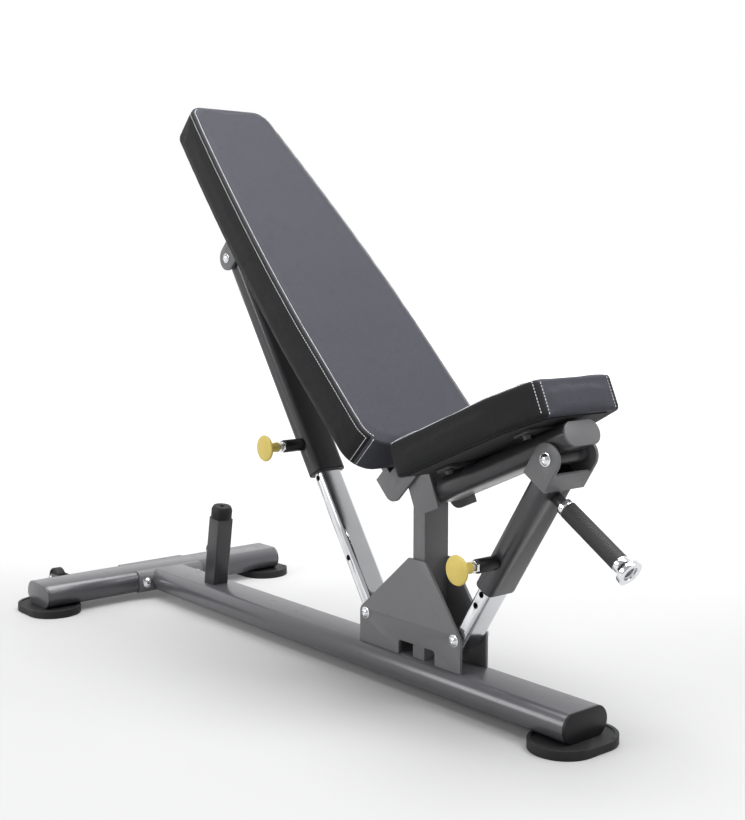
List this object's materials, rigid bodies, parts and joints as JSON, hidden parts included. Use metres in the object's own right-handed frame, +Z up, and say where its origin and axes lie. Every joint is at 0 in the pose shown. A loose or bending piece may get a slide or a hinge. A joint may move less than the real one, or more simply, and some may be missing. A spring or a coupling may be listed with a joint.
{
  "type": "adjustable weight bench",
  "caption": "Adjustable weight bench with a T-shaped steel base, tilting seat and backrest, telescopic struts with spring pins, a lifting handle and transport wheels.",
  "frame": {"origin": "on the floor, at the middle of the whole bench's length and width in the drawn position", "axes": "+X forward to the seat end and the lifting handle, +Y across the bench to the side without spring pins, +Z up"},
  "size_m": [1.51, 0.673, 1.079],
  "materials": {
    "frame_paint": "dark metallic grey powder coat, semi-gloss, light orange peel",
    "plate_paint": "mid metallic grey powder coat on cut plate, semi-gloss",
    "chrome_steel": "bright plated steel with fine sliding wear",
    "plain_steel": "zinc plated steel",
    "black_rubber": "matt black moulded rubber",
    "black_plastic": "matt black moulded plastic",
    "yellow_plastic": "pale yellow moulded plastic, satin",
    "upholstery": "dark grey synthetic leather with fine grain and pale double stitching",
    "black_backing": "plywood board covered in black woven dust cloth"
  },
  "bodies": {
    "base": {"main_beam": "frame_paint", "beam_end_cap": "black_plastic", "rear_crossbar": "frame_paint", "crossbar_end_caps": "frame_paint", "saddle_plates": "plate_paint", "saddle_bolts": "chrome_steel", "rubber_feet": "black_rubber", "foot_screws": "plain_steel", "gusset_plates": "plate_paint", "centre_post": "frame_paint", "hinge_sleeve": "frame_paint", "hinge_bushes": "black_plastic", "hinge_pin": "chrome_steel", "hinge_nut": "plain_steel", "lower_strut_bolts": "chrome_steel", "bumper_post": "frame_paint", "bumper_cap": "black_rubber", "wheel_brackets": "frame_paint", "wheel_axles": "plain_steel"},
    "left_wheel": {"left_wheel": "black_rubber"},
    "right_wheel": {"right_wheel": "black_rubber"},
    "backrest": {"backrest_pad": "upholstery", "backrest_board": "black_backing", "backrest_tube": "frame_paint", "backrest_tube_caps": "black_plastic", "backrest_straps": "frame_paint", "backrest_screws": "frame_paint", "backrest_plates": "plate_paint", "backrest_lugs": "plate_paint", "backrest_lug_bolts": "chrome_steel"},
    "seat": {"seat_pad": "upholstery", "seat_board": "black_backing", "seat_tube": "frame_paint", "seat_tube_caps": "plate_paint", "seat_straps": "frame_paint", "seat_screws": "frame_paint", "seat_plates": "plate_paint", "seat_strut_bush": "frame_paint"},
    "back_strut_inner": {"back_inner_tube": "chrome_steel"},
    "back_strut_outer": {"back_outer_tube": "frame_paint", "back_guide_bush": "black_plastic", "back_top_pin": "plain_steel", "back_pin_housing": "black_plastic", "back_pin_nut": "chrome_steel", "back_pin_spring": "plain_steel"},
    "back_pin": {"back_pin_plunger": "plain_steel", "back_pin_knob": "yellow_plastic"},
    "seat_strut_inner": {"seat_inner_tube": "chrome_steel"},
    "seat_strut_outer": {"seat_outer_tube": "frame_paint", "seat_guide_bush": "black_plastic", "seat_clevis": "plate_paint", "seat_clevis_bolt": "chrome_steel", "seat_pin_housing": "black_plastic", "seat_pin_nut": "chrome_steel", "seat_pin_spring": "plain_steel", "handle_bar": "frame_paint", "handle_grip": "black_rubber", "handle_collars": "chrome_steel"},
    "seat_pin": {"seat_pin_plunger": "plain_steel", "seat_pin_knob": "yellow_plastic"}
  },
  "joints": [
    {"name": "backrest_hinge", "type": "hinge", "parent": "base", "child": "backrest", "pos_m": [0.30148, 0, 0.412], "axis": [0, 1, 0], "range_deg": [-44.5, 30.5]},
    {"name": "seat_hinge", "type": "hinge", "parent": "base", "child": "seat", "pos_m": [0.30148, 0, 0.412], "axis": [0, -1, 0], "range_deg": [-22.5, 0]},
    {"name": "back_strut_swing", "type": "hinge", "parent": "base", "child": "back_strut_inner", "pos_m": [0.16248, 0, 0.12], "axis": [0, 1, 0], "range_deg": [-40, 30]},
    {"name": "back_strut_slide", "type": "slide", "parent": "back_strut_inner", "child": "back_strut_outer", "axis": [-0.5513, 0, 0.8343], "range_m": [-0.26, 0.19]},
    {"name": "seat_strut_swing", "type": "hinge", "parent": "base", "child": "seat_strut_inner", "pos_m": [0.39748, 0, 0.12], "axis": [0, -1, 0], "range_deg": [-13, 3]},
    {"name": "seat_strut_slide", "type": "slide", "parent": "seat_strut_inner", "child": "seat_strut_outer", "axis": [0.5364, 0, 0.844], "range_m": [-0.11, 0.01]},
    {"name": "back_pin_pull", "type": "slide", "parent": "back_strut_outer", "child": "back_pin", "axis": [0, -1, 0], "range_m": [0, 0.012], "stiffness_N_per_m": 1800, "springref_m": -0.004},
    {"name": "seat_pin_pull", "type": "slide", "parent": "seat_strut_outer", "child": "seat_pin", "axis": [0, -1, 0], "range_m": [0, 0.012], "stiffness_N_per_m": 1800, "springref_m": -0.004},
    {"name": "left_wheel_spin", "type": "hinge", "parent": "base", "child": "left_wheel", "pos_m": [-0.73252, -0.212, 0.045], "axis": [0, 1, 0], "continuous": true},
    {"name": "right_wheel_spin", "type": "hinge", "parent": "base", "child": "right_wheel", "pos_m": [-0.73252, 0.212, 0.045], "axis": [0, 1, 0], "continuous": true}
  ],
  "couplings": [
    {"joint": "back_strut_swing", "follows": "backrest_hinge", "ratio": 0.812},
    {"joint": "back_strut_slide", "follows": "backrest_hinge", "m_per_rad": 0.31226},
    {"joint": "seat_strut_swing", "follows": "seat_hinge", "ratio": 0.5196},
    {"joint": "seat_strut_slide", "follows": "seat_hinge", "m_per_rad": 0.25623}
  ]
}
